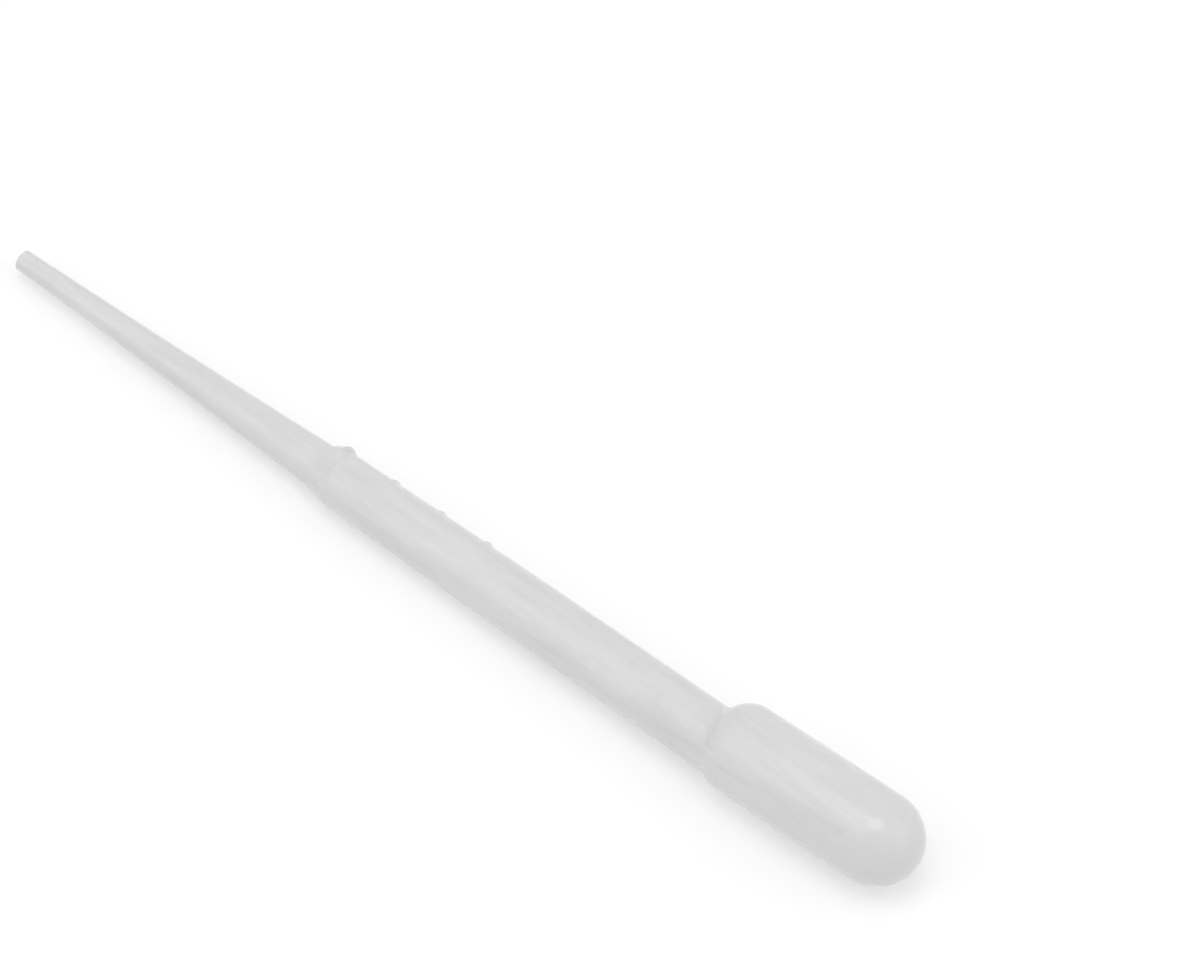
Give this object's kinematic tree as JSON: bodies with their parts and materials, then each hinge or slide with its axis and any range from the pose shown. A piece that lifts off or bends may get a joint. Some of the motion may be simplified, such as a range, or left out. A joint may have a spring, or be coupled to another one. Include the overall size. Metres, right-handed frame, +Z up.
{
  "type": "transfer pipette",
  "caption": "One-piece translucent plastic dropper pipette with a tapered tip, stepped shoulder, ridged stem and squeeze bulb.",
  "frame": {"origin": "under the middle of the bounding box, on the surface the pipette lies on", "axes": "+X from the mouth towards the bulb, +Z up, with the raised graduation ridges on the upper +Y side"},
  "size_m": [0.155, 0.013, 0.013],
  "materials": {
    "ldpe": "natural low-density polyethylene, translucent white, smooth with a soft satin shine"
  },
  "bodies": {
    "root": {"pipette": "ldpe"}
  },
  "joints": []
}
